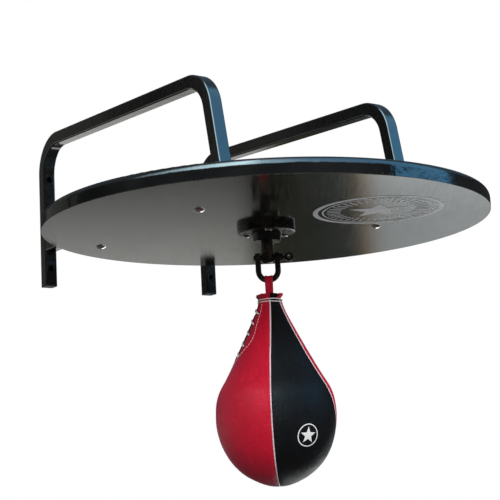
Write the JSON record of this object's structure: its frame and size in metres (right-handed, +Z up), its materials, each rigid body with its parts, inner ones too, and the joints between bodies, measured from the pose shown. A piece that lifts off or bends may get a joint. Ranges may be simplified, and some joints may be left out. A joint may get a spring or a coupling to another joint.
{
  "type": "speed bag platform",
  "caption": "Wall-mounted round rebound board on bent square-tube frames, with a ball-bearing swivel, bow shackle and laced leather speed bag.",
  "frame": {"origin": "centre of the four wall-bolt holes, on the plane of the wall", "axes": "+X along the wall, to the right for someone facing the wall; -Y out from the wall towards the user; +Z up"},
  "size_m": [0.6099, 0.689, 0.5528],
  "materials": {
    "frame_paint": "gloss black powder coat with light orange peel",
    "plug_plastic": "satin moulded black plastic",
    "board_paint": "medium-density board under gloss black paint",
    "laminate": "dark grey laminate, semi-gloss with a fine grain",
    "print_grey": "pale grey screen print",
    "zinc": "bright zinc plate",
    "swivel_paint": "black enamel on cast and forged steel, worn brown at the edges",
    "bearing_steel": "polished bearing steel",
    "red_leather": "satin red leather with a fine grain",
    "black_leather": "satin black leather with a fine grain",
    "white_piping": "white piping cord cover",
    "white_cord": "woven white lace",
    "bladder_rubber": "black latex"
  },
  "bodies": {
    "frame": {"left_hoop_tube": "frame_paint", "right_hoop_tube": "frame_paint", "left_lower_arm": "frame_paint", "right_lower_arm": "frame_paint", "left_weld_beads": "frame_paint", "right_weld_beads": "frame_paint", "left_leg_plug": "plug_plastic", "right_leg_plug": "plug_plastic", "left_arm_plug": "plug_plastic", "right_arm_plug": "plug_plastic", "board_core": "board_paint", "board_laminate": "laminate", "underside_emblem": "print_grey", "board_bolts": "zinc", "board_washers": "zinc", "board_nuts": "zinc", "swivel_flange": "swivel_paint", "flange_screws": "zinc", "bearing_balls": "bearing_steel"},
    "stem": {"swivel_stem": "swivel_paint", "thrust_washer": "bearing_steel", "stem_nut": "zinc"},
    "shackle": {"shackle_bow": "swivel_paint"},
    "pin": {"shackle_pin": "swivel_paint"},
    "bag": {"hanging_loop": "red_leather", "neck_filler": "black_leather", "neck_collar": "red_leather", "neck_tie": "white_cord", "bag_panel_front_left": "red_leather", "bag_panel_front_right": "black_leather", "bag_panel_back_right": "red_leather", "bag_panel_back_left": "black_leather", "seam_piping": "white_piping", "bag_lace": "white_cord", "lace_tongue": "red_leather", "bladder": "bladder_rubber", "bladder_valve": "bladder_rubber"}
  },
  "joints": [
    {"name": "swivel_turn", "type": "hinge", "parent": "frame", "child": "stem", "pos_m": [0, -0.384, -0.065], "axis": [0, 0, 1], "continuous": true},
    {"name": "shackle_swing", "type": "hinge", "parent": "stem", "child": "shackle", "pos_m": [0, -0.384, -0.108], "axis": [0.809, -0.5878, 0], "range_deg": [-70, 70]},
    {"name": "bag_rock", "type": "hinge", "parent": "shackle", "child": "bag", "pos_m": [0, -0.384, -0.1258], "axis": [0.5878, 0.809, 0], "range_deg": [-30, 30]},
    {"name": "pin_withdraw", "type": "slide", "parent": "shackle", "child": "pin", "axis": [0.809, -0.5878, 0], "range_m": [0, 0.04]}
  ]
}
